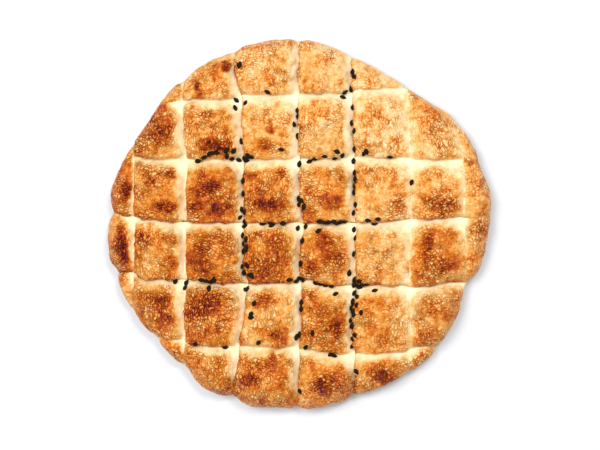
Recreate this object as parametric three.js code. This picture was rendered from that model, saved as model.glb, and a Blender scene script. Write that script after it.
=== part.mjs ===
// A round leavened flatbread (a small pide): one baked loaf, pressed with the fingertips into
// columns and rows of pillows, with nigella seeds baked onto its top.
// Millimetres, +Z up. The loaf lies flat on z = 0 and the origin is under the middle of it.
import * as THREE from 'three';

// ---- Driving dimensions ------------------------------------------------------------------------

// Outline of the loaf seen from above, at its widest level: [x, y], clockwise from the north.
const RIM = [
  [3.5, 92.2], [10, 91.2], [17, 88.5], [31, 82.2], [45, 74.4], [57, 67], [63.5, 62.6], [76.5, 53.6],
  [86.5, 41], [92.5, 25], [96, 16], [96, 6], [94.4, -8], [89.8, -23.5], [84.2, -30], [81, -42],
  [73, -57], [61.5, -70.4], [50, -77.5], [35, -84], [18, -90.4], [3, -93], [-9, -92.2],
  [-22.5, -91.8], [-35, -87.2], [-47.5, -82.6], [-57.5, -72.5], [-65.5, -65], [-73.5, -56],
  [-82, -46.5], [-88.5, -35.5], [-92, -25.5], [-95.5, -15.5], [-96, -6], [-95, 7], [-94.4, 18],
  [-89.2, 30], [-83, 41.5], [-75, 52.5], [-67.5, 63.8], [-59, 72], [-46, 81.2], [-33, 86.8],
  [-23.5, 90.6], [-8, 92.9],
];
const NOTCH_DEEP = 2.2;      // where a crease runs out at the south-west edge
const NOTCH_SHALLOW = 0.6;   // the same at the north-east edge
const NOTCH_WIDTH = 2.8;

const WIDEST_Z = 6;          // height of the rim's widest level
const SHOULDER = 13;         // how far the rounded edge reaches in over the top
const UNDERCUT = 6;          // how far it curves in below, down to the flat underside
const CREASE_Z = 13.6;       // bottom of the creases
const PILLOW_RISE = 3.8;     // from the crease to the pillow's shoulder
const CROWN_RISE = 2.8;      // from the shoulder to the middle of the pillow
const CROWN_REACH = 14;      // half a pillow
const PILLOW_VARIATION = 0.35;
const CORNER = 1.7;          // roundness of a pillow's corners, in slope widths
const EDGE_FALL = 2;         // how much lower the loaf is near its edge than in its middle
const HALF_WIDTH = 96;

// The slopes beside a crease: the pillow to the south or west of it slopes down gently, the one
// to the north or east of it stands up steeply. Pressed lightly, both slopes are long and soft.
const PRESSED = { gentle: 6, steep: 2.2, depth: 1 };
const SHALLOW = { gentle: 7, steep: 5.5, depth: 0.62 };

// Creases that run north-south, from west to east, as [y, x] knots.
const COLUMN_CREASES = [
  { ...PRESSED, knots: [[-45, -82.5], [47, -82.5]] },
  { ...PRESSED, knots: [[-79, -57], [-37, -57], [-29, -56], [28, -56], [53, -57.5], [81, -57.5]] },
  {
    ...PRESSED,
    knots: [
      [-91, -33], [-79, -32.5], [-62, -29], [-37, -25.5], [-29, -24.5], [-21, -27], [33, -27],
      [59, -28], [78, -31], [93, -31],
    ],
  },
  {
    ...PRESSED,
    knots: [
      [-91, 0], [-59, 1], [-47, 2], [-27, 2], [-19, 1.5], [-9, 2], [1, 3.5], [13, 1], [31, 1],
      [41, 0.5], [93, 0.5],
    ],
  },
  {
    ...PRESSED,
    knots: [
      [-91, 28.5], [-66, 28.5], [-59, 27.5], [-47, 27.5], [-31, 29], [38, 28.5], [53, 28],
      [78, 27], [93, 27],
    ],
  },
  { ...SHALLOW, knots: [[-79, 55], [-61, 57], [-27, 56], [5, 56.5], [28, 57], [58, 55], [81, 55]] },
  { ...SHALLOW, knots: [[-43, 84], [-27, 84], [8, 83.5], [31, 83], [49, 79.5], [61, 77]] },
];

// Creases that run west-east, from south to north, as [x, y] knots.
const ROW_CREASES = [
  {
    ...PRESSED,
    knots: [
      [-71, -56.5], [-58, -58], [-52, -61], [-2, -61], [3, -62.5], [26, -64.5], [53, -64],
      [58, -61.5], [69, -60.5],
    ],
  },
  {
    ...PRESSED,
    knots: [
      [-95, -23.5], [-83, -24], [-77, -27], [-56, -27.5], [-29, -29], [-1, -28.5], [3, -26.5],
      [13, -29.5], [55, -30], [61, -30], [83, -28],
    ],
  },
  {
    ...PRESSED,
    knots: [
      [-95, 6.5], [-83, 4.5], [-77, 3], [-57, 1.5], [26, 1.5], [37, 1.5], [59, 3.5], [83, 4],
    ],
  },
  {
    ...PRESSED,
    knots: [
      [-81, 34.5], [-77, 33.5], [-54, 32.5], [1, 33], [26, 34], [51, 34], [61, 33], [79, 32.5],
    ],
  },
  {
    ...PRESSED,
    knots: [
      [-65, 61.5], [-53, 62.5], [-32, 62.5], [-27, 65], [26, 65.5], [31, 68.5], [51, 68],
    ],
  },
];
const CREASE_FADE = 6;       // length over which a crease dies out past its last knot

// Nigella seeds on the top: [x, y, heading of the long axis in degrees], from north to south.
const SEEDS = [
  [-29, 80, 80], [27.5, 76.5, -75], [26.5, 68, -80], [-15, 66.5, -60], [23.5, 66.5, 45],
  [-31, 62.5, -40], [-26, 61, 75], [27.5, 59, 85], [-31.5, 58.5, -70], [0, 57.5, 85],
  [27, 51, 80], [-2, 50.5, -60], [0, 44.5, 85], [-28.5, 42, -75], [-8, 38, -10],
  [28.5, 38, 85], [-35.5, 37.5, 60], [19.5, 37, -20], [33, 36, 60], [-42.5, 36, 10],
  [46, 34.5, -20], [13.5, 34.5, 15], [-25, 34, 25], [-46.5, 34, 40], [8.5, 33.5, 20],
  [-33, 33.5, -30], [28.5, 26.5, 80], [-27, 22, 85], [56.5, 21.5, 60], [28.5, 20, 75],
  [-27, 16, 85], [0.5, 13.5, 65], [29, 10.5, 85], [-28, 8, -70], [40, 3.5, 15],
  [35, 3, -20], [15.5, 2, 10], [-17.5, 1, 0], [21, 2, -5], [-7, 1.5, 20],
  [28, -2, 80], [10.5, -2.5, 40], [-27.5, -5, 85], [2.5, -7.5, 80], [-27, -13, 85],
  [1.5, -19, 85], [-27.5, -20.5, 60], [25.5, -23.5, 75], [-45.5, -27.5, 0], [-61.5, -28, 65],
  [11, -29, -15], [38.5, -32.5, 25], [19, -34, 35], [-21.5, -38.5, 60], [29.5, -39.5, 75],
  [2, -41.5, 85], [27, -50, 75], [-19.5, -58.5, 60], [-36.5, -61, 0],
];
const SEED_LENGTH = 3.4;
const SEED_WIDTH = 2.1;
const SEED_THICKNESS = 1.5;
const SEED_GAP = 0.3;        // clearance between a seed and the crust under it

const TOP_SEGMENTS = 56;     // across the top sheet
const FLANK_START = 0.8;     // fraction of the top sheet inside the rounded edge
const SNAP_REACH = 2;        // how far a point of the sheet may be drawn onto a crease
const SNAP_FLANK = 0.3;      // and only above the rim itself
const UNDER_RINGS = 3;
const RIM_SAMPLES = 720;

// ---- Plan: outline and creases -----------------------------------------------------------------

const rimCurve = new THREE.CatmullRomCurve3(
  RIM.map(([x, y]) => new THREE.Vector3(x, y, 0)),
  true,
  'centripetal',
);
const rimPolar = rimCurve
  .getPoints(RIM_SAMPLES)
  .slice(0, RIM_SAMPLES)
  .map((p) => ({ angle: Math.atan2(p.y, p.x), radius: Math.hypot(p.x, p.y) }))
  .sort((a, b) => a.angle - b.angle);

function smooth(t) {
  const s = THREE.MathUtils.clamp(t, 0, 1);
  return s * s * (3 - 2 * s);
}

// Radius of the plain outline at an angle from +X.
function outlineRadius(angle) {
  const turn = 2 * Math.PI;
  const next = rimPolar.findIndex((p) => p.angle > angle);
  const after = next < 0 ? { ...rimPolar[0], angle: rimPolar[0].angle + turn } : rimPolar[next];
  const last = rimPolar[rimPolar.length - 1];
  const before = next === 0 ? { ...last, angle: last.angle - turn } : rimPolar.at(next - 1);
  const t = (angle - before.angle) / (after.angle - before.angle);
  return THREE.MathUtils.lerp(before.radius, after.radius, t);
}

// Where a crease lies across its run, at a place along it.
function creaseAt(crease, along) {
  const { knots } = crease;
  const last = knots.length - 1;
  const next = knots.findIndex(([place]) => place > along);
  if (next === 0) return knots[0][1];
  if (next < 0) return knots[last][1];
  const [from, fromAcross] = knots[next - 1];
  const [to, toAcross] = knots[next];
  return THREE.MathUtils.lerp(fromAcross, toAcross, smooth((along - from) / (to - from)));
}

// How strongly a crease is pressed at a place along it: whole between its ends, fading past them.
function creaseStrength(crease, along) {
  const { knots } = crease;
  const past = Math.max(knots[0][0] - along, along - knots[knots.length - 1][0], 0);
  return 1 - smooth(past / CREASE_FADE);
}

// The two sets of creases, each with how a plan point reads along and across them.
const CREASE_SETS = [
  { creases: COLUMN_CREASES, along: (x, y) => y, across: (x) => x },
  { creases: ROW_CREASES, along: (x) => x, across: (x, y) => y },
];

// Radius of the outline with a notch where each crease runs out.
function rimRadius(angle) {
  const radius = outlineRadius(angle);
  const x = radius * Math.cos(angle);
  const y = radius * Math.sin(angle);
  const southWest = 0.5 - 0.5 * Math.cos(angle - Math.PI / 4);
  const depth = THREE.MathUtils.lerp(NOTCH_SHALLOW, NOTCH_DEEP, southWest);
  const crossing = [Math.abs(Math.sin(angle)), Math.abs(Math.cos(angle))];
  let notch = 0;
  CREASE_SETS.forEach((set, index) => {
    for (const crease of set.creases) {
      const along = set.along(x, y);
      const offset = set.across(x, y) - creaseAt(crease, along);
      const share = creaseStrength(crease, along) * crossing[index];
      notch = Math.max(notch, depth * share * Math.exp(-((offset / NOTCH_WIDTH) ** 2)));
    }
  });
  return radius - notch;
}

// ---- Top: height of the pillows over the plan --------------------------------------------------

// How one set of creases shapes the dough at a plan point: how far up the slope out of a crease
// the point is, from 0 at its bottom to 1 at its top and CORNER well inside a pillow, how far away
// the nearest crease is, and which pillow of the row the point is on.
function readCreases({ creases, along, across }, x, y) {
  let climb = CORNER;
  let nearest = CROWN_REACH;
  let index = 0;
  for (const crease of creases) {
    const strength = creaseStrength(crease, along(x, y));
    const offset = across(x, y) - creaseAt(crease, along(x, y));
    const width = offset > 0 ? crease.steep : crease.gentle;
    const distance = Math.abs(offset) + (1 - strength) * CROWN_REACH;
    const pressed = Math.min(CORNER, 1 - crease.depth * (1 - Math.abs(offset) / width));
    climb = Math.min(climb, THREE.MathUtils.lerp(CORNER, pressed, strength));
    nearest = Math.min(nearest, distance);
    index += offset > 0 ? 1 : 0;
  }
  return { climb, nearest, index };
}

function topHeight(x, y) {
  const [column, row] = CREASE_SETS.map((set) => readCreases(set, x, y));
  const climb = CORNER - Math.hypot(CORNER - column.climb, CORNER - row.climb);
  const pressed = THREE.MathUtils.clamp(1 - climb, 0, 1);
  const shoulder = Math.cos((Math.PI / 2) * pressed);
  const crown = Math.sin((Math.PI / 2) * (column.nearest / CROWN_REACH))
    * Math.sin((Math.PI / 2) * (row.nearest / CROWN_REACH));
  const variation = 1 + PILLOW_VARIATION * Math.sin(2.1 * column.index + 1.3 * row.index);
  const fall = EDGE_FALL * ((x ** 2 + y ** 2) / HALF_WIDTH ** 2);
  return CREASE_Z - fall + PILLOW_RISE * shoulder + CROWN_RISE * crown * variation;
}

// ---- Loaf: one closed body ---------------------------------------------------------------------

// The top is a square sheet of points rounded into a disc, so its outermost ring is the rim.
// flank runs from 0 at the rim to a quarter turn where the rounded edge meets the top.
function planPoint(u, v) {
  const discX = u * Math.sqrt(1 - v ** 2 / 2);
  const discY = v * Math.sqrt(1 - u ** 2 / 2);
  const reach = Math.min(1, Math.hypot(discX, discY));
  const angle = Math.atan2(discY, discX);
  const rim = rimRadius(angle);
  const flank = Math.min(1, (1 - reach) / (1 - FLANK_START)) * (Math.PI / 2);
  const inside = Math.min(1, reach / FLANK_START) * (rim - SHOULDER);
  const radius = reach > FLANK_START ? rim - SHOULDER * (1 - Math.cos(flank)) : inside;
  return { x: radius * Math.cos(angle), y: radius * Math.sin(angle), flank };
}

// Draw the nearest point of one line of the sheet onto a crease that the line crosses.
function snapToCrease(line, crease, along, across, axis) {
  const gap = (p) => Math.abs(across(p.x, p.y) - creaseAt(crease, along(p.x, p.y)));
  const nearest = line.reduce((best, p) => (gap(p) < gap(best) ? p : best));
  if (gap(nearest) < SNAP_REACH && nearest.flank > SNAP_FLANK) {
    nearest[axis] = creaseAt(crease, along(nearest.x, nearest.y));
  }
}

// The sheet's points in rows, each crease lying on a line of them so that it stays sharp.
function makeTopSheet() {
  const places = Array.from({ length: TOP_SEGMENTS + 1 }, (_, i) => (2 * i) / TOP_SEGMENTS - 1);
  const rows = places.map((v) => places.map((u) => planPoint(u, v)));
  const columns = places.map((_, i) => rows.map((row) => row[i]));
  const [columnSet, rowSet] = CREASE_SETS;
  for (const crease of columnSet.creases) {
    rows.forEach((line) => snapToCrease(line, crease, columnSet.along, columnSet.across, 'x'));
  }
  for (const crease of rowSet.creases) {
    columns.forEach((line) => snapToCrease(line, crease, rowSet.along, rowSet.across, 'y'));
  }
  return rows.flat().map(({ x, y, flank }) => {
    const z = WIDEST_Z + (topHeight(x, y) - WIDEST_Z) * Math.sin(flank);
    return new THREE.Vector3(x, y, z);
  });
}

// A point under the rim: the outer ring drawn in and down by a quarter turn to the underside.
function underPoint(rimPoint, turn) {
  const radius = Math.hypot(rimPoint.x, rimPoint.y);
  const scale = (radius - UNDERCUT * (1 - Math.cos(turn))) / radius;
  return new THREE.Vector3(rimPoint.x * scale, rimPoint.y * scale, WIDEST_Z * (1 - Math.sin(turn)));
}

function makeLoafGeometry() {
  const n = TOP_SEGMENTS;
  const points = makeTopSheet();
  const faces = [];
  const topIndex = (column, row) => row * (n + 1) + column;

  for (let row = 0; row < n; row += 1) {
    for (let column = 0; column < n; column += 1) {
      const a = topIndex(column, row);
      const b = topIndex(column + 1, row);
      const c = topIndex(column + 1, row + 1);
      const d = topIndex(column, row + 1);
      // The lower diagonal keeps a crease open where it passes from one cell to the next.
      const lowerAC = points[a].z + points[c].z < points[b].z + points[d].z;
      faces.push(...(lowerAC ? [a, b, c, a, c, d] : [a, b, d, b, c, d]));
    }
  }

  const edge = [];
  for (let i = 0; i < n; i += 1) edge.push(topIndex(i, 0));
  for (let i = 0; i < n; i += 1) edge.push(topIndex(n, i));
  for (let i = n; i > 0; i -= 1) edge.push(topIndex(i, n));
  for (let i = n; i > 0; i -= 1) edge.push(topIndex(0, i));

  let ring = edge;
  for (let level = 1; level <= UNDER_RINGS; level += 1) {
    const turn = (Math.PI / 2) * (level / UNDER_RINGS);
    const lower = edge.map((index) => points.push(underPoint(points[index], turn)) - 1);
    ring.forEach((upper, i) => {
      const following = (i + 1) % ring.length;
      faces.push(upper, lower[i], lower[following], upper, lower[following], ring[following]);
    });
    ring = lower;
  }

  const base = ring.map((index) => new THREE.Vector2(points[index].x, points[index].y));
  for (const [a, b, c] of THREE.ShapeUtils.triangulateShape(base, [])) {
    faces.push(ring[a], ring[c], ring[b]);
  }

  const geometry = new THREE.BufferGeometry().setFromPoints(points);
  geometry.setIndex(faces);
  geometry.computeVertexNormals();
  return geometry;
}

const crust = new THREE.MeshStandardMaterial({ color: 0xd9923f, roughness: 0.6, metalness: 0 });
const loaf = new THREE.Mesh(makeLoafGeometry(), crust);
loaf.name = 'loaf';
loaf.updateMatrixWorld();

// ---- Seeds: small dark teardrops lying on the crust --------------------------------------------

const seedGeometry = new THREE.LatheGeometry(
  [[0, -0.5], [0.3, -0.3], [0.5, 0.08], [0.34, 0.36], [0, 0.5]].map(([r, h]) => new THREE.Vector2(r, h)),
  6,
);
seedGeometry.rotateZ(-Math.PI / 2);
seedGeometry.scale(SEED_LENGTH, SEED_WIDTH, SEED_THICKNESS);

const down = new THREE.Vector3(0, 0, -1);
const ray = new THREE.Raycaster();

function crustUnder(x, y) {
  ray.set(new THREE.Vector3(x, y, 100), down);
  return ray.intersectObject(loaf)[0];
}

// Lay a seed along the slope of the crust, then lift it until every point of it clears the crust.
function makeSeed([x, y, heading], index) {
  const material = new THREE.MeshStandardMaterial({ color: 0x1c130f, roughness: 0.45, metalness: 0 });
  const seed = new THREE.Mesh(seedGeometry, material);
  seed.name = `seed_${String(index + 1).padStart(2, '0')}`;
  const { point, face } = crustUnder(x, y);
  const tilt = new THREE.Quaternion().setFromUnitVectors(new THREE.Vector3(0, 0, 1), face.normal);
  const turn = new THREE.Quaternion().setFromAxisAngle(
    new THREE.Vector3(0, 0, 1),
    THREE.MathUtils.degToRad(heading),
  );
  seed.quaternion.multiplyQuaternions(tilt, turn);
  seed.position.copy(point);
  seed.updateMatrixWorld();
  const corner = new THREE.Vector3();
  const positions = seedGeometry.getAttribute('position');
  let lift = 0;
  for (let i = 0; i < positions.count; i += 1) {
    corner.fromBufferAttribute(positions, i).applyMatrix4(seed.matrixWorld);
    lift = Math.max(lift, crustUnder(corner.x, corner.y).point.z + SEED_GAP - corner.z);
  }
  seed.position.z += lift;
  return seed;
}

const bread = new THREE.Group();
bread.add(loaf, ...SEEDS.map(makeSeed));

export default bread;
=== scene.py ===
import math
import random

import bmesh
import bpy
import numpy as np
from mathutils import Matrix, Vector, noise
from mathutils.bvhtree import BVHTree


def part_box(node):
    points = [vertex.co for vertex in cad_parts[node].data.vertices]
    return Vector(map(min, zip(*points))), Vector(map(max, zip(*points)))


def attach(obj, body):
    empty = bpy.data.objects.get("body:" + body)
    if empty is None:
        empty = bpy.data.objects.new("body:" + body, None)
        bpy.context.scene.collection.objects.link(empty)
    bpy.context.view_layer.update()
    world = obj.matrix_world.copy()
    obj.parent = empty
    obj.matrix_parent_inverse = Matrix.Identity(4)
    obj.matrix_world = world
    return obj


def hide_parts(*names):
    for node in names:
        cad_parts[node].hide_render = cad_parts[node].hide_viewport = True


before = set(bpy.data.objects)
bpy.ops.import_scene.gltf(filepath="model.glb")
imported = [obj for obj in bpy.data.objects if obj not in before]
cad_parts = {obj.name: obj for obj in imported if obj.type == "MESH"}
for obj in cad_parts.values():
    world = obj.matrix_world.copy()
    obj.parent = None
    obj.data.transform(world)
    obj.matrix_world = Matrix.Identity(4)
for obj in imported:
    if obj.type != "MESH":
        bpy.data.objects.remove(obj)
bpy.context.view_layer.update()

# --- The loaf -----------------------------------------------------------------------------------
# One round of leavened dough, pressed with the fingertips into pillows, proved and baked.
# Two square sheets are bridged at the widest level of the edge, rounded into the loaf's outline
# and lifted into pillows; then the crust is swollen, wrinkled, blistered and browned.

MM = 0.001                   # heights and lengths are in millimetres, unless a comment says otherwise
TOP_CELLS = 132              # across each sheet; the upper one is divided once more
HALF_WIDTH = 96.0
WIDEST = 6.0                 # the height at which the loaf is widest
SHOULDER = 13.0              # how far in from the rim the top's rounded edge starts
UNDERCUT = 6.0               # and how far the underside curves in
TOP_FLANK = 0.80             # the part of a sheet's radius inside the rounded edge
BASE_FLANK = 0.90
CREASE_HEIGHT = 13.6         # of the dough left in a crease, at the middle of the loaf
EDGE_FALL = 2.0              # how much lower the top is at the rim
PILLOW_RISE = 3.8            # from a crease to a pillow's shoulder
CROWN_RISE = 2.8             # and from there to its crown, on average
CROWN_VARIATION = 0.35       # the share of that by which one pillow differs from the next
CROWN_REACH = 14.0           # from a crease to the middle of a pillow
CREASE_FADE = 6.0            # the length over which a crease runs out at its ends
CORNER = 1.7                 # roundness of a pillow's corners, in slope widths
SEAM_WIDTH = 0.5             # of the painted shade in the fold at the foot of a steep slope
CREASE_WANDER = 0.9          # how far a crease strays from its line, in bends of the next length
WANDER_LENGTH = 7
COMB_REACH = 5.0             # how far from a crease the sheet's lines are drawn closer to it
COMB_POWER = 1.35

# The pillow south or west of a crease slopes down to it gently; the next one stands up steeply and
# bulges. Bake is how much further a slope is browned than its height alone would have it, and seam
# shade how much the fold at the foot of the steep one is darkened, which is painted shade in place
# of the fold's own shadow.
DEEP = {"gentle": 6.0, "steep": 1.4, "depth": 1.0, "bulge": 0.9,
        "slope_bake": 0.0, "wall_bake": 0.6, "painted_seam_shade": 0.22}
PRESSED = {"gentle": 6.0, "steep": 1.8, "depth": 1.0, "bulge": 0.5,
           "slope_bake": 0.0, "wall_bake": 0.5, "painted_seam_shade": 0.0}
SHALLOW = {"gentle": 7.0, "steep": 5.5, "depth": 0.62, "bulge": 0.0,
           "slope_bake": 0.15, "wall_bake": 0.3, "painted_seam_shade": 0.0}

# Creases that run north-south, from west to east: how each is pressed, then (y, x) knots along it.
column_creases = [
    (PRESSED, [(-45, -82.5), (47, -82.5)]),
    (PRESSED, [(-79, -57), (-37, -57), (-29, -56), (28, -56), (53, -57.5), (81, -57.5)]),
    (DEEP, [(-91, -33), (-79, -32.5), (-62, -29), (-37, -25.5), (-29, -24.5), (-21, -27),
            (33, -27), (59, -28), (78, -31), (93, -31)]),
    (DEEP, [(-91, 0), (-59, 1), (-47, 2), (-27, 2), (-19, 1.5), (-9, 2), (1, 3.5), (13, 1),
            (31, 1), (41, 0.5), (93, 0.5)]),
    (DEEP, [(-91, 28.5), (-66, 28.5), (-59, 27.5), (-47, 27.5), (-31, 29), (38, 28.5),
            (53, 28), (78, 27), (93, 27)]),
    (SHALLOW, [(-79, 55), (-61, 57), (-27, 56), (5, 56.5), (28, 57), (58, 55), (81, 55)]),
    (SHALLOW, [(-43, 84), (-27, 84), (8, 83.5), (31, 83), (49, 79.5), (61, 77)]),
]

# Creases that run west-east, from south to north, with (x, y) knots.
row_creases = [
    (PRESSED, [(-71, -56.5), (-58, -58), (-52, -61), (-2, -61), (3, -62.5), (26, -64.5),
               (53, -64), (58, -61.5), (69, -60.5)]),
    (DEEP, [(-95, -23.5), (-83, -24), (-77, -27), (-56, -27.5), (-29, -29), (-1, -28.5),
            (3, -26.5), (13, -29.5), (55, -30), (61, -30), (83, -28)]),
    (DEEP, [(-95, 6.5), (-83, 4.5), (-77, 3), (-57, 1.5), (26, 1.5), (37, 1.5), (59, 3.5),
            (83, 4)]),
    (PRESSED, [(-81, 34.5), (-77, 33.5), (-54, 32.5), (1, 33), (26, 34), (51, 34), (61, 33),
               (79, 32.5)]),
    (PRESSED, [(-65, 61.5), (-53, 62.5), (-32, 62.5), (-27, 65), (26, 65.5), (31, 68.5), (51, 68)]),
]

# How brown each pillow is, from the western edge strip to the eastern one; rows from the south.
pillow_browning = np.array([
    [0.50, 0.50, 0.54, 0.56, 0.54, 0.54, 0.54, 0.54],
    [0.50, 0.58, 0.58, 0.47, 0.54, 0.49, 0.50, 0.46],
    [0.56, 0.49, 0.58, 0.61, 0.52, 0.45, 0.54, 0.48],
    [0.60, 0.55, 0.60, 0.54, 0.50, 0.46, 0.44, 0.48],
    [0.58, 0.56, 0.52, 0.44, 0.43, 0.36, 0.43, 0.46],
    [0.50, 0.50, 0.47, 0.41, 0.42, 0.38, 0.44, 0.42],
])

# Darker patches: x, y, half-width, half-height, turn in degrees, strength.
patches = [
    (-35, 79, 3, 2.8, 0, 0.50), (-50, 68.5, 2.5, 5, 20, 0.25), (-42, 76.5, 3, 4.5, 0, 0.15),
    (-85.5, 16.5, 3.5, 5, -20, 0.35), (-87.8, -10.5, 2.7, 11, 4, 0.42),
    (-62.5, 26, 3, 2.5, 0, 0.25), (-73, 21.5, 3.2, 2.6, 0, 0.20), (-67.5, 9.5, 6, 3, 0, 0.25),
    (-67, 47.5, 6, 7, 0, 0.20),
    (-49, 16.5, 6.5, 4.5, 30, 0.20), (-42, 20.5, 4, 3.5, 0, 0.25), (-39.5, 8, 6, 3, 20, 0.25),
    (-50, 10, 4, 2.5, 0, 0.25), (-14, 10.5, 9, 3.5, 0, 0.32), (-23.5, 25, 4, 2.5, 0, 0.18),
    (-7, 26.5, 4, 3, 0, 0.18), (-41, 40, 9, 3, 0, 0.25), (-45, 54.5, 3.5, 4, 0, 0.12),
    (-14, 48.5, 2.2, 3.2, 0, 0.35), (-17, 40.5, 3.5, 3.5, 0, 0.20), (-77, -6.5, 3.5, 4, 0, 0.20),
    (-63, -7.5, 5, 3, 0, 0.20), (-62, -19.5, 4, 5, 0, 0.20), (-79, -15.5, 3, 4, 0, 0.15),
    (-50, -18.5, 7, 8, 20, 0.22), (-11, -17.5, 11, 8, 0, 0.12), (17, 12.5, 6, 5, 0, 0.28),
    (6, 6.5, 4, 3.5, 0, 0.20), (13, -7.5, 4.5, 5, 0, 0.22), (16, -15, 5, 4, 0, 0.22),
    (7, -19.5, 4, 3, 0, 0.15), (72, 10.5, 9, 4, -12, 0.30), (65, -7.5, 3, 3.5, 0, 0.28),
    (65, -13.5, 3, 3, 0, 0.22), (76, -18.5, 8, 4, 15, 0.25), (-48, -41.5, 6, 6, 0, 0.25),
    (-40, -38.5, 4, 5, 0, 0.20), (-17, -35.5, 4, 5, 0, 0.20), (-9, -55, 4, 3.5, 0, 0.22),
    (-24, -77.5, 4.5, 3.5, 0, 0.30), (-70, -37.5, 5, 3, 0, 0.20), (-69, -46.5, 6, 4, 0, 0.20),
    (21, -48.5, 6, 5, 0, 0.25), (13, -80, 7, 5, 0, 0.20), (43, -75, 6, 3.5, 0, 0.20),
]


def smooth(low, high, values):
    """A soft step: 0 up to low, 1 from high."""
    t = np.clip((values - low) / (high - low), 0, 1)
    return t * t * (3 - 2 * t)


def crease_line(knots, along):
    """Where a crease is, in soft bends from knot to knot."""
    places, across = np.array(knots, float).T
    i = np.clip(np.searchsorted(places, along) - 1, 0, len(places) - 2)
    t = smooth(0, 1, (along - places[i]) / (places[i + 1] - places[i]))
    return across[i] + (across[i + 1] - across[i]) * t


def crease_strength(knots, along):
    """1 along a crease, falling to 0 past its two ends."""
    past = np.maximum(knots[0][0] - along, along - knots[-1][0])
    return 1 - smooth(0, CREASE_FADE, past)


def read_creases(creases, along, across):
    """For each point: how far up the slope out of the nearest crease it is, how far clear of the
    crease's pale dough, how much painted shade falls in its seam, the distance to it, the number of
    the pillow, and how far the wall leans over."""
    climb = np.full_like(along, CORNER)
    clear = np.full_like(along, CORNER)
    seam_shade = np.zeros_like(along)
    lean = np.zeros_like(along)
    nearest = np.full_like(along, CROWN_REACH)
    number = np.zeros_like(along)
    for pressing, knots in creases:
        strength = crease_strength(knots, along)
        offset = across - crease_line(knots, along)
        width = np.where(offset > 0, pressing["steep"], pressing["gentle"])
        here = np.minimum(CORNER, 1 - pressing["depth"] * (1 - np.abs(offset) / width))
        climb = np.minimum(climb, CORNER + (here - CORNER) * strength)
        bake = np.where(offset > 0, pressing["wall_bake"], pressing["slope_bake"])
        above = np.minimum(CORNER, here + bake)
        clear = np.minimum(clear, CORNER + (above - CORNER) * strength)
        # Painted shade: a dark line just past the crease, at the foot of the steep slope, darkens the
        # fold.
        folded = np.exp(-((offset - SEAM_WIDTH) / SEAM_WIDTH) ** 2)
        seam_shade = np.maximum(seam_shade, pressing["painted_seam_shade"] * strength * folded)
        nearest = np.minimum(nearest, np.abs(offset) + (1 - strength) * CROWN_REACH)
        number += offset > 0
        bulge = np.sin(math.pi * np.clip(here, 0, 1)) * pressing["bulge"] * strength
        lean -= np.where((offset > 0) & (here < 1), bulge, 0)
    return climb, clear, seam_shade, nearest, number.astype(int), lean


def top_height(x, y):
    """The height of the top, and what read_creases says of both sets of creases there."""
    column_climb, column_clear, column_seam_shade, column_gap, column, lean_x = read_creases(
        column_creases, y, x)
    row_climb, row_clear, row_seam_shade, row_gap, row, lean_y = read_creases(row_creases, x, y)
    climb = CORNER - np.hypot(CORNER - column_climb, CORNER - row_climb)
    clear = CORNER - np.hypot(CORNER - column_clear, CORNER - row_clear)
    pressed = np.clip(1 - climb, 0, 1)
    shoulder = np.cos(math.pi / 2 * pressed)
    crown = (np.sin(math.pi / 2 * column_gap / CROWN_REACH)
             * np.sin(math.pi / 2 * row_gap / CROWN_REACH))
    variation = 1 + CROWN_VARIATION * np.sin(2.1 * column + 1.3 * row)
    fall = EDGE_FALL * (x ** 2 + y ** 2) / HALF_WIDTH ** 2
    height = CREASE_HEIGHT - fall + PILLOW_RISE * shoulder + CROWN_RISE * crown * variation
    seam_shade = np.maximum(column_seam_shade, row_seam_shade)
    gaps = (column_gap, row_gap)
    return height, shoulder, clear, seam_shade, gaps, pillow_browning[row, column], lean_x, lean_y


def comb_to_creases(creases, along, across, hold):
    """Draw the sheet's lines closer together beside each crease, so that its edges stay sharp."""
    for _, knots in creases:
        offset = across - crease_line(knots, along)
        share = np.clip(np.abs(offset) / COMB_REACH, 0, 1)
        drawn = np.sign(offset) * COMB_REACH * share ** COMB_POWER
        pull = (drawn - offset) * hold * crease_strength(knots, along)
        across = np.where(np.abs(offset) < COMB_REACH, across + pull, across)
    return across


# The outline is the frame's own: the ring of the CAD loaf at its widest level.
LEVEL_SLACK = 0.01
cad_points = np.array([v.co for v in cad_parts["loaf"].data.vertices]) / MM
cad_rim = cad_points[np.abs(cad_points[:, 2] - WIDEST) < LEVEL_SLACK]
rim_angles = np.round(np.arctan2(cad_rim[:, 1], cad_rim[:, 0]), 5)
rim_angles, order = np.unique(rim_angles, return_index=True)
rim_radii = np.hypot(cad_rim[order, 0], cad_rim[order, 1])

# Two flat square sheets, above and below, joined along their edges.
bm = bmesh.new()
bmesh.ops.create_grid(bm, x_segments=TOP_CELLS, y_segments=TOP_CELLS, size=1)
for vert in bm.verts:
    vert.co.z = 1
upper_edges = bm.edges[:]
lower = bmesh.ops.create_grid(bm, x_segments=TOP_CELLS, y_segments=TOP_CELLS, size=1)["verts"]
for vert in lower:
    vert.co.z = -1
bmesh.ops.reverse_faces(bm, faces=list({face for vert in lower for face in vert.link_faces}))
bmesh.ops.bridge_loops(bm, edges=[edge for edge in bm.edges if edge.is_boundary])
bmesh.ops.subdivide_edges(bm, edges=upper_edges, cuts=1, use_grid_fill=True)
bmesh.ops.recalc_face_normals(bm, faces=bm.faces)
loaf_mesh = bpy.data.meshes.new("pide_loaf")
bm.to_mesh(loaf_mesh)
bm.free()

# The squares are drawn into discs, and the discs into the outline. Flank is the angle up the
# rounded edge, from 0 at the rim, and hold how firmly the creases have hold of the dough there.
HOLD_BY = 0.5                # the flank angle above which they have all of it
SHEETS_APART = 12            # keeps the base's noise apart from the top's

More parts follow.
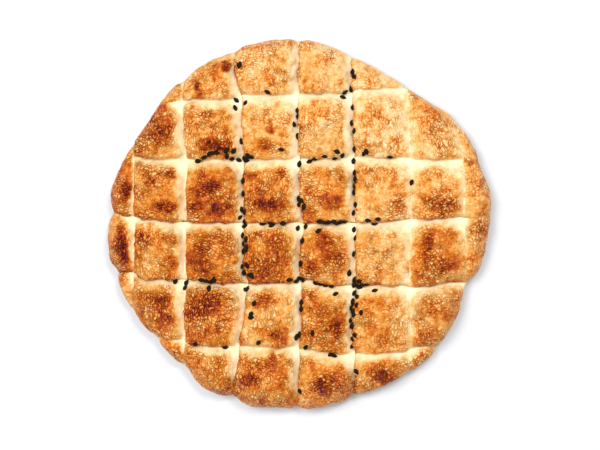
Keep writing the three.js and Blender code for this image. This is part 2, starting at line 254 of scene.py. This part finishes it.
sheet = np.empty(len(loaf_mesh.vertices) * 3)
loaf_mesh.vertices.foreach_get("co", sheet)
u, v, side = sheet.reshape(-1, 3).T
is_top = side > 0
disc_x = u * np.sqrt(1 - v ** 2 / 2)
disc_y = v * np.sqrt(1 - u ** 2 / 2)
reach = np.clip(np.hypot(disc_x, disc_y), 0, 1)
angle = np.arctan2(disc_y, disc_x)
rim = np.interp(angle, rim_angles, rim_radii, period=2 * math.pi)
flank_start = np.where(is_top, TOP_FLANK, BASE_FLANK)
flank = np.clip((1 - reach) / (1 - flank_start), 0, 1) * math.pi / 2
edge_width = np.where(is_top, SHOULDER, UNDERCUT)
radius = np.where(reach > flank_start, rim - edge_width * (1 - np.cos(flank)),
                  reach / flank_start * (rim - edge_width))
x = radius * np.cos(angle)
y = radius * np.sin(angle)
hold = np.where(is_top, smooth(0, HOLD_BY, flank), 0)
x, y = (comb_to_creases(column_creases, y, x, hold), comb_to_creases(row_creases, x, y, hold))
flat_marks = [Vector((px, py, SHEETS_APART * top)) for px, py, top in zip(x, y, is_top)]


def field(size, seed=0.0, octaves=1, marks=flat_marks):
    """Smooth noise from about -1 to 1 over the loaf, with features of about that size."""
    shift = Vector((seed, seed * 1.7, seed * 0.3))
    if octaves == 1:
        return np.array([noise.noise(mark / size + shift) for mark in marks])
    return np.array([noise.fractal(mark / size + shift, 0.9, 2.1, octaves) for mark in marks])


height, shoulder, clear, seam_shade, gaps, pillow_toast, lean_x, lean_y = top_height(
    x + CREASE_WANDER * field(WANDER_LENGTH, 2.0), y + CREASE_WANDER * field(WANDER_LENGTH, 9.0))
z = np.where(is_top, WIDEST + (height - WIDEST) * np.sin(flank), WIDEST * (1 - np.sin(flank)))
form = np.column_stack([x + hold * lean_x, y + hold * lean_y, z])


def set_points(mesh, points):
    mesh.vertices.foreach_set("co", (points * MM).ravel())
    mesh.update()


def get_normals(mesh):
    normals = np.empty(len(mesh.vertices) * 3)
    mesh.vertex_normals.foreach_get("vector", normals)
    return normals.reshape(-1, 3)


set_points(loaf_mesh, form)
form_normals = get_normals(loaf_mesh)
form_marks = [Vector(point) for point in form]


CAP_WIDTH = 0.6              # from a blister's middle to its edge, in steps between two blisters


def blister_caps(size, seed=0.0):
    """Round caps about scattered centres: 1 at a centre, 0 beyond the cap's width."""
    shift = Vector((seed, seed * 0.6, 0))
    away = np.array([noise.voronoi(mark / size + shift)[0][0] for mark in form_marks])
    return np.clip(1 - (away / CAP_WIDTH) ** 2, 0, 1)


# The crust's relief. It is full on the pillows, less at the rim, and only the broad swelling reaches
# into the creases. There is none where the loaf rests.
SWELLING_HEIGHT = 0.9
DENT_HEIGHT = 0.55
WRINKLE_HEIGHT = 1.5
BLISTER_HEIGHT = 0.7
BUBBLE_HEIGHT = 0.5
GRAIN_HEIGHT = 0.3
WRINKLE_LEVEL = 0.35         # the furrows' depth at which a wrinkle is level with the crust
RIM_RELIEF = 0.3             # the part of the relief that is left at the rim
CREASE_SWELLING = 0.4        # and of the swelling in a crease

free = np.where(is_top, 1.0, smooth(0.5, 4, z))
on_edge = np.where(is_top, RIM_RELIEF + (1 - RIM_RELIEF) * smooth(0.2, 0.8, flank),
                   RIM_RELIEF * smooth(0.5, WIDEST, z))
on_pillow = smooth(0.35, 0.98, shoulder) * on_edge
swelling = SWELLING_HEIGHT * field(8, 3.1, 2, form_marks)
dents = DENT_HEIGHT * field(4.6, 19.4, 1, form_marks)
wrinkle_mask = smooth(-0.25, 0.25, field(17, 8.4, 1, form_marks))
furrows = np.abs(field(2.4, 5.2, 2, form_marks))
wrinkles = WRINKLE_HEIGHT * wrinkle_mask * (WRINKLE_LEVEL - furrows)
blister_mask = smooth(-0.25, 0.25, field(11, 12.7, 1, form_marks))
blisters = blister_mask * blister_caps(3.2, 2.2)
bubbling = BUBBLE_HEIGHT * blister_caps(2.3, 5.8)
grain = GRAIN_HEIGHT * field(1.7, 1.1, 2, form_marks)
fine_relief = dents + wrinkles + BLISTER_HEIGHT * blisters + bubbling + grain
crease_share = CREASE_SWELLING + (1 - CREASE_SWELLING) * on_pillow
relief = free * (swelling * crease_share + on_pillow * fine_relief)
points = form + form_normals * relief[:, None]
points[~is_top, 2] = np.maximum(points[~is_top, 2], form[~is_top, 2])
set_points(loaf_mesh, points)
loaf_mesh.polygons.foreach_set("use_smooth", [True] * len(loaf_mesh.polygons))

# How far each point is baked, from 0, raw dough, to 1, nearly black, with painted light and shade
# laid in: painted shade in the seams, a painted highlight on the small bubbles' caps, and painted
# light on the column creases. The dough stays pale in the creases and browns up each slope, with a
# ragged line between. At the edge it stays pale where it faces north-east, and browns right down to
# the rim on the other side.
PALEST_CRUST = 0.27
CLEAR_OF_CREASE = 1.15       # where a slope is fully browned, in slope widths
BLOTCHING = 0.10             # how much each pattern adds to the browning
CLOUDING = 0.08
RUSTING = 0.09
# The blisters brown more, and the small bubbles' caps are left paler, which is a painted highlight.
BLISTER_BAKE_AND_HIGHLIGHT = 0.10
CREASE_BAKE = -0.05          # and the nearness of a crease, which fades over the next length
CREASE_NEAR = 4
PATCH_WANDER = 1.8           # how far the darker patches stray from their outlines

facing = smooth(0.3, 0.85, 0.7 * (form_normals[:, 0] + form_normals[:, 1]))
ragged = field(3.2, 6.6, 3, form_marks)
bare_below = 0.15 * facing - 0.35
exposed = smooth(bare_below, bare_below + 0.4, form_normals[:, 2] + 0.12 * ragged)
toward_north_east = (x + y) / (np.hypot(x, y) + 0.1) / math.sqrt(2)
edge_bake = (0.65 - 0.4 * toward_north_east) * smooth(0.76, 0.94, reach)
exposed *= smooth(0.0, CLEAR_OF_CREASE, clear + edge_bake + 0.2 * ragged)
blotches = smooth(-0.45, 0.45, field(5.5, 4.4, 3)) - 0.5
rust_spots = smooth(0.12, 0.5, field(3.8, 14.2, 2))
speckle = field(2.1, 17.3, 2)
patch_x = x + PATCH_WANDER * field(4, 31.0, 2)
patch_y = y + PATCH_WANDER * field(4, 37.0, 2)
browning_and_cap_highlight = pillow_toast + 0.02 + CLOUDING * field(13, 21.0)
browning_and_cap_highlight += BLOTCHING * blotches + RUSTING * rust_spots
browning_and_cap_highlight += CREASE_BAKE * np.exp(-(np.minimum(*gaps) / CREASE_NEAR) ** 2)
for px, py, half_width, half_height, turn, strength in patches:
    cosine, sine = math.cos(math.radians(turn)), math.sin(math.radians(turn))
    along = ((patch_x - px) * cosine + (patch_y - py) * sine) / half_width
    across = ((patch_y - py) * cosine - (patch_x - px) * sine) / half_height
    browning_and_cap_highlight += strength * (0.95 + 0.5 * speckle) * np.exp(-(along ** 2 + across ** 2) ** 2)
# Blisters brown a little more, and the caps of the small bubbles are left paler: a painted highlight.
browning_and_cap_highlight += BLISTER_BAKE_AND_HIGHLIGHT * (blisters - 0.3) - BLISTER_BAKE_AND_HIGHLIGHT * (bubbling - 0.2)
# Painted light: the dough by the column creases, whose slopes face east, is left paler than by the
# row creases.
by_row_crease = smooth(-2, 2, gaps[0] - gaps[1])
pale = 0.08 + 0.06 * by_row_crease + 0.08 * ragged - 0.06 * smooth(-60, 60, x + y)
# The seams' painted shade is added to the browning here.
top_toast_and_painted_light = pale + (np.maximum(browning_and_cap_highlight, PALEST_CRUST) - pale) * exposed + seam_shade

# Below its widest level the side is paler, and the base that lay in the oven is browned in clouds.
SIDE_BLEND = 3               # the height over which the top's browning takes over from the side's
side_toast = 0.19 + 0.14 * smooth(1, WIDEST, z) + 0.10 * ragged
top_share = (0.2 + 0.8 * smooth(WIDEST, WIDEST + SIDE_BLEND, z)) * is_top
toast_and_painted_light = side_toast + (top_toast_and_painted_light - side_toast) * top_share
under_toast = 0.36 + 0.30 * field(16, 33.0, 2) + 0.1 * field(3, 3.0)
toast_and_painted_light += (under_toast - toast_and_painted_light) * (1 - smooth(0.2, 1.6, z)) * ~is_top
toast_layer = loaf_mesh.attributes.new("toast_and_painted_light", "FLOAT", "POINT")
toast_layer.data.foreach_set("value", np.clip(toast_and_painted_light, 0, 1.1).astype(np.float32))

loaf = bpy.data.objects.new("pide_loaf", loaf_mesh)
bpy.context.scene.collection.objects.link(loaf)


def start_material(name):
    material = bpy.data.materials.new(name)
    material.use_nodes = True
    nodes = material.node_tree.nodes
    return material, nodes, material.node_tree.links, nodes["Principled BSDF"]


def add_noise(nodes, links, source, scale, detail=2.0, roughness=0.5):
    texture = nodes.new("ShaderNodeTexNoise")
    texture.inputs["Scale"].default_value = scale
    texture.inputs["Detail"].default_value = detail
    texture.inputs["Roughness"].default_value = roughness
    links.new(source, texture.inputs["Vector"])
    return texture.outputs["Fac"]


def add_math(nodes, links, operation, first, second, third=0.0):
    node = nodes.new("ShaderNodeMath")
    node.operation = operation
    for socket, value in zip(node.inputs, (first, second, third)):
        if isinstance(value, (int, float)):
            socket.default_value = value
        else:
            links.new(value, socket)
    return node.outputs["Value"]


def add_range(nodes, links, source, low, high, to_low, to_high):
    node = nodes.new("ShaderNodeMapRange")
    limits = {"From Min": low, "From Max": high, "To Min": to_low, "To Max": to_high}
    for name, value in limits.items():
        node.inputs[name].default_value = value
    links.new(source, node.inputs["Value"])
    return node.outputs["Result"]


def add_sum(nodes, links, parts):
    """The sum of several patterns, each times its own weight."""
    total = 0.0
    for pattern, weight in parts:
        total = add_math(nodes, links, "MULTIPLY_ADD", pattern, weight, total)
    return total


def add_ramp(nodes, links, source, stops):
    ramp = nodes.new("ShaderNodeValToRGB")
    elements = ramp.color_ramp.elements
    while len(elements) < len(stops):
        elements.new(0.5)
    for element, (position, color) in zip(elements, stops):
        element.position = position
        element.color = (*color, 1)
    links.new(source, ramp.inputs["Fac"])
    return ramp.outputs["Color"]


LIGHT = 1.14                 # how much light falls on the top of the loaf
GLOSS = 0.014                # and how much its gloss adds to that
DARKEST = 0.002              # no part of a colour is darker than this


def tone(red, green, blue):
    """A colour as it looks under the studio light, 0 to 255, as the surface's own linear colour."""
    def linear(value):
        value /= 255
        return value / 12.92 if value <= 0.04045 else ((value + 0.055) / 1.055) ** 2.4
    return tuple(max(DARKEST, linear(value) - GLOSS) / LIGHT for value in (red, green, blue))


def add_stretch(nodes, links, source, scale, warp):
    """Coordinates stretched along one axis and swirled a little, for wrinkles with a grain."""
    stretch = nodes.new("ShaderNodeVectorMath")
    stretch.operation = "MULTIPLY_ADD"
    stretch.inputs[1].default_value = scale
    links.new(source, stretch.inputs[0])
    links.new(warp, stretch.inputs[2])
    return stretch.outputs["Vector"]


def add_bubbles(nodes, links, source):
    """Crowded bubbles: how far a point is inside one, from 0 on the line between two."""
    cells = nodes.new("ShaderNodeTexVoronoi")
    cells.feature = "DISTANCE_TO_EDGE"
    cells.inputs["Scale"].default_value = BUBBLE_SCALE
    links.new(source, cells.inputs["Vector"])
    return cells.outputs["Distance"]


# The baked crust. Its skin has bubbles too small for the mesh, drawn out north-south in some places
# and west-east in others. They rise most where it is well baked. The lines between them are painted
# darker, a painted shade, strongly in some patches and faintly in others, and the middle of each
# bubble is painted paler, a painted highlight.
BUBBLE_SCALE = 720           # bubbles to the metre
DRAWN_NORTH = (1, 0.5, 1)
DRAWN_EAST = (0.65, 1, 1)
SWIRL_REACH = 0.0035         # metres

crust, nodes, links, surface = start_material("baked_crust")
place = nodes.new("ShaderNodeTexCoord").outputs["Object"]
toasted_and_painted = nodes.new("ShaderNodeAttribute")
toasted_and_painted.attribute_name = "toast_and_painted_light"
swirl = nodes.new("ShaderNodeTexNoise")
swirl.inputs["Scale"].default_value = 300
swirl.inputs["Detail"].default_value = 1
links.new(place, swirl.inputs["Vector"])
warp = nodes.new("ShaderNodeVectorMath")
warp.operation = "SCALE"
warp.inputs["Scale"].default_value = SWIRL_REACH
links.new(swirl.outputs["Color"], warp.inputs[0])
swirled = warp.outputs["Vector"]
upright = add_bubbles(nodes, links, add_stretch(nodes, links, place, DRAWN_NORTH, swirled))
level = add_bubbles(nodes, links, add_stretch(nodes, links, place, DRAWN_EAST, swirled))
grain_turn = add_range(nodes, links, add_noise(nodes, links, place, 42, 0), 0.46, 0.54, 0.0, 1.0)
bubbles = nodes.new("ShaderNodeMix")
links.new(grain_turn, bubbles.inputs["Factor"])
links.new(upright, bubbles.inputs["A"])
links.new(level, bubbles.inputs["B"])
inside = bubbles.outputs["Result"]
patchy = add_math(nodes, links, "MULTIPLY_ADD", toasted_and_painted.outputs["Fac"], 0.5,
                  add_noise(nodes, links, place, 95, 1))
lively = add_range(nodes, links, patchy, 0.66, 0.88, 0.15, 1.0)
fold_shade_strength = add_range(nodes, links, add_noise(nodes, links, place, 70, 1), 0.41, 0.59, 0.25, 1.0)
# Painted shade: the lines between the bubbles are darkened in colour.
fold_shade = add_math(nodes, links, "MULTIPLY",
                add_range(nodes, links, inside, 0.0, 0.16, 1.0, 0.0), fold_shade_strength)
bubble = add_math(nodes, links, "MULTIPLY",
                  add_range(nodes, links, inside, 0.0, 0.38, 0.0, 1.0), lively)
# Painted highlight: the middle of each bubble is made paler in colour.
peak_highlight = add_math(nodes, links, "MULTIPLY",
                add_range(nodes, links, inside, 0.10, 0.38, 0.0, 1.0), lively)
fine = add_math(nodes, links, "SUBTRACT", add_noise(nodes, links, place, 1250, 2, 0.6), 0.5)
coarse = add_math(nodes, links, "SUBTRACT", add_noise(nodes, links, place, 480, 3, 0.65), 0.5)

# Its colour runs from raw dough to nearly black, with painted shade in the folds between bubbles
# and a painted highlight on the middle of each.
baked = add_range(nodes, links, toasted_and_painted.outputs["Fac"], 0.10, 0.42, 0.05, 1.0)
mottle_and_painted_light = add_sum(nodes, links, [(fine, 0.25), (coarse, 0.4), (fold_shade, 0.25), (peak_highlight, -0.26)])
shade = add_math(nodes, links, "MULTIPLY_ADD", mottle_and_painted_light, baked, toasted_and_painted.outputs["Fac"])
color = add_ramp(nodes, links, shade, [
    (0.00, tone(261, 249, 222)), (0.12, tone(257, 239, 199)), (0.27, tone(246, 216, 167)),
    (0.38, tone(239, 195, 131)), (0.50, tone(229, 160, 77)), (0.62, tone(210, 119, 34)),
    (0.74, tone(185, 84, 11)), (0.86, tone(148, 56, 2)), (1.00, tone(88, 30, 0)),
])
links.new(color, surface.inputs["Base Color"])
links.new(add_range(nodes, links, shade, 0.3, 0.65, 0.55, 0.2), surface.inputs["Roughness"])
relief_height = add_sum(nodes, links, [(fine, 0.4), (coarse, 0.7), (bubble, 0.75)])
raised = add_range(nodes, links, toasted_and_painted.outputs["Fac"], 0.12, 0.60, 0.1, 1.0)
bump = nodes.new("ShaderNodeBump")
bump.inputs["Strength"].default_value = 1.0
bump.inputs["Distance"].default_value = 0.001
links.new(add_math(nodes, links, "MULTIPLY", relief_height, raised), bump.inputs["Height"])
links.new(bump.outputs["Normal"], surface.inputs["Normal"])
surface.inputs["Specular IOR Level"].default_value = 0.3
surface.inputs["Subsurface Weight"].default_value = 0.2
surface.inputs["Subsurface Radius"].default_value = (1.0, 0.45, 0.2)
surface.inputs["Subsurface Scale"].default_value = 0.002
loaf_mesh.materials.append(crust)
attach(loaf, "root")
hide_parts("loaf")

# --- The nigella seeds --------------------------------------------------------------------------
# Small black angular teardrops scattered on the dough before baking, which lie mostly in the
# creases. Each is a ball drawn out to a point and pinched into three ridges, and is pressed a
# little into the crust; those of one row of pillows are one piece.

SEED_LENGTH = 3.4
SEED_WIDTH = 2.1
SEED_THICKNESS = 1.5
SEED_SIZES = (0.92, 1.1)     # the smallest and the largest, as a part of that
SEED_POINT = 0.55            # how much narrower a seed gets towards its point
SEED_BELLY = 0.12            # and how much wider from its blunt end to its middle
SEED_RIDGE = 0.13            # how far its three ridges stand out
SEED_ROLL = 0.5              # the most that one is rolled on its side, in radians
SEED_SUNK = 0.35             # into the crust
FOOTHOLD = 0.4               # where a seed feels the crust, in its lengths or widths off its middle
LEVELLING = 0.4              # how strongly it lies level on a slope
HEAP_STEP = 1.5              # seeds closer together than this lie on each other
HEAP_LIFT = 0.7              # which raises the upper one by this
ABOVE_LOAF = 40              # the height that a seed is dropped from
ROW_EDGES = (-61.4, -28.4, 1.6, 33.6, 65.6)    # between the rows of pillows, from the south

# Seeds heaped beside the frame's own. For the number of a frame seed: x and y away from it, and the
# heading in degrees.
companions = {
    2: [(0.4, -2.4, -60)],
    5: [(-1.1, -2.8, -20)],
    10: [(0.3, -3.0, 80)],
    11: [(1.2, -3.8, 80)],
    16: [(-0.9, -5.8, 85)],
    17: [(3.8, -0.3, 50), (0.2, -2.8, 80)],
    18: [(2.8, -1.8, 70), (-1.0, -3.2, 5)],
    19: [(1.0, 1.1, -70)],
    20: [(2.2, 0.2, -10), (-1.6, -0.3, 70)],
    23: [(-1.9, -0.2, 80), (1.9, 0.2, -20), (-0.8, -1.7, 10), (0.3, 1.2, -30)],
    24: [(-3.3, -1.8, 20)],
    25: [(-2.6, -1.8, 30), (-7.7, -2.9, 80)],
    26: [(3.5, -1.0, -20)],
    27: [(0.2, -3.0, 80)],
    30: [(-0.2, -3.2, 85)],
    32: [(1.6, -1.0, -50), (2.6, -4.0, 80), (0.5, -2.7, 60)],
    33: [(-1.5, -4.0, 75)],
    34: [(1.6, -1.2, 70), (-1.0, -4.0, 40), (1.5, -6.0, 85), (1.5, -8.4, 20)],
    35: [(-1.8, -2.4, 0)],
    37: [(-4.3, 0.3, 10), (-2.1, -0.3, -25), (2.4, 0.3, 20)],
    38: [(4.3, 0.3, 0), (4.6, -1.2, 30)],
    39: [(-1.9, -0.2, -20), (2.4, 0.1, 10)],
    40: [(-0.4, -1.4, -20)],
    41: [(0.8, -4.2, 85), (-0.2, -12.1, 85)],
    42: [(-10.6, 1.0, 70), (-6.5, 2.0, 80)],
    43: [(0.5, -4.0, 85), (1.7, -1.8, 80), (2.0, -5.8, 75)],
    45: [(1.6, 1.0, 85)],
    46: [(1.1, -8.0, 85), (-5.5, -8.0, 5), (-2.2, -8.4, 30), (-1.0, -7.3, -20)],
    47: [(2.3, 0.6, -60), (0.8, -2.8, 80), (3.8, -4.0, 20), (4.7, -4.8, -40)],
    48: [(2.7, -3.5, 70), (5.2, -4.0, 20), (3.7, -6.0, -30), (2.3, -5.8, 80), (6.8, -5.8, 10),
         (5.2, -7.4, -20), (8.8, -5.5, 0)],
    49: [(-2.4, 0.3, -10), (2.2, -0.4, 20), (3.7, 0.7, 80), (1.3, -4.0, 80)],
    50: [(5.5, -0.9, 60), (4.8, -3.3, 60)],
    51: [(2.9, -0.8, -5), (6.0, -0.9, 5), (-1.8, 0.5, -20)],
    54: [(-4.5, 6.1, -40), (-3.4, 6.6, 60), (-1.5, -5.6, 60), (-1.6, -7.4, 5)],
    55: [(-1.2, 5.8, 60), (0.2, 3.9, -50), (-2.2, 1.6, 80), (-2.6, -1.5, 75), (-1.6, -3.2, 70),
         (-1.4, -4.8, 60), (2.1, -3.5, 80)],
    56: [(0.1, 3.2, 85), (-1.1, -13.0, 85), (-2.9, -14.2, 80), (2.2, -19.0, 60)],
    57: [(-0.9, 2.7, 70), (1.6, -4.6, -60), (0.5, -6.6, -45), (0.3, -10.3, 50), (-10.4, -14.6, 40),
         (-9.0, -15.4, -10), (2.3, -22.9, -50), (-19.5, -3.4, 80)],
    58: [(20.6, -24.5, -60)],
    59: [(-15.0, 1.4, -40)],
}

random.seed(7)
crust_tree = BVHTree.FromPolygons([v.co for v in loaf_mesh.vertices],
                                  [p.vertices for p in loaf_mesh.polygons])
frame_seeds = sorted(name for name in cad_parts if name.startswith("seed_"))


def seed_heading(name):
    """The long axis of a frame seed in plan, from its mesh."""
    corners = np.array([v.co.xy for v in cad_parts[name].data.vertices])
    spread = corners - corners.mean(0)
    _, _, axes = np.linalg.svd(spread, full_matrices=False)
    return math.atan2(axes[0][1], axes[0][0])


def drop_on_crust(spot):
    """The point of the crust straight below a spot."""
    return crust_tree.ray_cast(spot * MM, Vector((0, 0, -1)))[0]


def add_seed(bm, px, py, heading, laid):
    """Lay one seed on the crust, on top of those already laid there."""
    size = random.uniform(*SEED_SIZES)
    verts = bmesh.ops.create_uvsphere(bm, u_segments=8, v_segments=7, radius=0.5)["verts"]
    ridge = random.uniform(0, math.pi)
    for vert in verts:
        length, width, thick = vert.co.z, vert.co.x, vert.co.y
        taper = 1 - SEED_POINT * smooth(0.0, 0.5, length) + SEED_BELLY * smooth(-0.5, 0, length)
        taper *= 1 + SEED_RIDGE * math.cos(3 * math.atan2(thick, width) + ridge)
        vert.co = Vector((length * SEED_LENGTH, width * SEED_WIDTH * taper,
                          thick * SEED_THICKNESS * taper))
        vert.co *= size
    forward = Vector((math.cos(heading), math.sin(heading), 0))
    sideways = Vector((-forward.y, forward.x, 0))
    spot = Vector((px, py, ABOVE_LOAF))
    steps = (forward * FOOTHOLD * SEED_LENGTH, forward * -FOOTHOLD * SEED_LENGTH,
             sideways * FOOTHOLD * SEED_WIDTH, sideways * -FOOTHOLD * SEED_WIDTH, Vector())
    front, back, left, right, under = (drop_on_crust(spot + step) for step in steps)
    slope = (front - back).cross(left - right).normalized() + Vector((0, 0, LEVELLING))
    slope.normalize()
    here = Vector((under.x, under.y, max(under.z, (front + back + left + right).z / 4)))
    lift = (SEED_THICKNESS / 2 - SEED_SUNK) * MM
    for other_x, other_y in laid:
        if math.hypot(px - other_x, py - other_y) < HEAP_STEP:
            lift += HEAP_LIFT * MM
    laid.append((px, py))
    roll = Matrix.Rotation(random.uniform(-SEED_ROLL, SEED_ROLL), 4, "X")
    flat_turn = Matrix.Rotation(heading, 4, "Z")
    tilt = Vector((0, 0, 1)).rotation_difference(slope).to_matrix().to_4x4()
    laid_down = tilt @ flat_turn @ roll @ Matrix.Scale(MM, 4)
    bmesh.ops.transform(bm, matrix=Matrix.Translation(here + slope * lift) @ laid_down, verts=verts)


# The seed coat: dull black, finely wrinkled, a little browner on the ridges of the wrinkles.
SEED_TONES = [(0.3, (0.007, 0.004, 0.002)), (0.62, (0.016, 0.009, 0.005)),
              (0.8, (0.04, 0.022, 0.01))]

seed_coat, nodes, links, surface = start_material("seed_coat")
place = nodes.new("ShaderNodeTexCoord").outputs["Object"]
wrinkle = add_noise(nodes, links, place, 2600, 3, 0.6)
links.new(add_ramp(nodes, links, wrinkle, SEED_TONES), surface.inputs["Base Color"])
surface.inputs["Roughness"].default_value = 0.4
surface.inputs["Specular IOR Level"].default_value = 0.1
bump = nodes.new("ShaderNodeBump")
bump.inputs["Strength"].default_value = 0.5
bump.inputs["Distance"].default_value = 0.0002
links.new(wrinkle, bump.inputs["Height"])
links.new(bump.outputs["Normal"], surface.inputs["Normal"])

# The frame's seeds are sorted into the rows of pillows that they lie on, from the south.
rows = {}
for name in frame_seeds:
    middle = (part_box(name)[0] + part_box(name)[1]) / 2 / MM
    row = sum(middle.y > edge for edge in ROW_EDGES) + 1
    rows.setdefault(row, []).append((name, middle))

for row, members in sorted(rows.items()):
    bm = bmesh.new()
    laid = []
    for name, middle in members:
        add_seed(bm, middle.x, middle.y, seed_heading(name), laid)
        for dx, dy, heading in companions.get(int(name[-2:]), []):
            add_seed(bm, middle.x + dx, middle.y + dy, math.radians(heading), laid)
    bmesh.ops.recalc_face_normals(bm, faces=bm.faces)
    seeds_mesh = bpy.data.meshes.new(f"nigella_seeds_row_{row}")
    bm.to_mesh(seeds_mesh)
    bm.free()
    seeds_mesh.polygons.foreach_set("use_smooth", [True] * len(seeds_mesh.polygons))
    seeds_mesh.materials.append(seed_coat)
    seeds = bpy.data.objects.new(f"nigella_seeds_row_{row}", seeds_mesh)
    bpy.context.scene.collection.objects.link(seeds)
    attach(seeds, "root")
    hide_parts(*[name for name, _ in members])

# --- The floor, the light and the camera --------------------------------------------------------
# A plain pale floor under even light from all round, with a broad soft lamp high in the west-north-
# west and a smaller one in the north-east, which alone gives the crust its gloss. The camera looks
# down on the loaf from a little to the north-east of it.

FLOOR_SIZE = 3               # metres, as are all lengths in this section
FLOOR_DROP = 0.0002          # keeps the floor's face apart from the loaf's
LENS = 150                   # millimetres, on a sensor 36 wide
CAMERA_LEAN = math.radians(4)
CAMERA_DISTANCE = 1.25
LAMP_COLOR = (1, 0.97, 0.93)
NORTH = Vector((0, 1, 0))
UP = Vector((0, 0, 1))

bm = bmesh.new()
bmesh.ops.create_grid(bm, x_segments=1, y_segments=1, size=FLOOR_SIZE)
bmesh.ops.translate(bm, verts=bm.verts, vec=(0, 0, -FLOOR_DROP))
floor_mesh = bpy.data.meshes.new("floor")
bm.to_mesh(floor_mesh)
bm.free()
floor = bpy.data.objects.new("floor", floor_mesh)
bpy.context.scene.collection.objects.link(floor)
white, nodes, links, surface = start_material("white_floor")
surface.inputs["Base Color"].default_value = (0.66, 0.69, 0.76, 1)
surface.inputs["Roughness"].default_value = 0.9
surface.inputs["Specular IOR Level"].default_value = 0.1
floor_mesh.materials.append(white)

world = bpy.data.worlds.new("studio")
world.use_nodes = True
world.node_tree.nodes["Background"].inputs["Color"].default_value = (1.0, 0.985, 0.955, 1)
world.node_tree.nodes["Background"].inputs["Strength"].default_value = 0.65
bpy.context.scene.world = world


def look_from(thing, position, target, up):
    """Place a lamp or camera and turn it to face the target, keeping up as its upright."""
    back = (position - target).normalized()
    right = up.cross(back).normalized()
    turn = Matrix((right, back.cross(right), back)).transposed().to_4x4()
    thing.matrix_world = Matrix.Translation(position) @ turn


aim = Vector((0.00095, 0.0001, 0.012))
for name, spot, size, energy, in_gloss in (("broad_lamp", (-0.95, 0.6, 2.75), 1.4, 61.0, False),
                                           ("low_lamp", (0.75, 1.1, 2.65), 0.8, 33.0, True)):
    lamp_data = bpy.data.lights.new(name, "AREA")
    lamp_data.shape = "DISK"
    lamp_data.size = size
    lamp_data.energy = energy
    lamp_data.color = LAMP_COLOR
    lamp = bpy.data.objects.new(name, lamp_data)
    lamp.visible_glossy = in_gloss
    bpy.context.scene.collection.objects.link(lamp)
    look_from(lamp, Vector(spot), aim, NORTH)

camera_data = bpy.data.cameras.new("camera")
camera_data.lens = LENS
camera_data.sensor_width = 36
camera = bpy.data.objects.new("camera", camera_data)
bpy.context.scene.collection.objects.link(camera)
north_east = Vector((1, 1, 0)).normalized()
from_aim = north_east * math.sin(CAMERA_LEAN) + UP * math.cos(CAMERA_LEAN)
look_from(camera, aim + CAMERA_DISTANCE * from_aim, aim, NORTH)
bpy.context.scene.camera = camera
bpy.context.scene.view_settings.view_transform = "Standard"

bpy.context.view_layer.update()
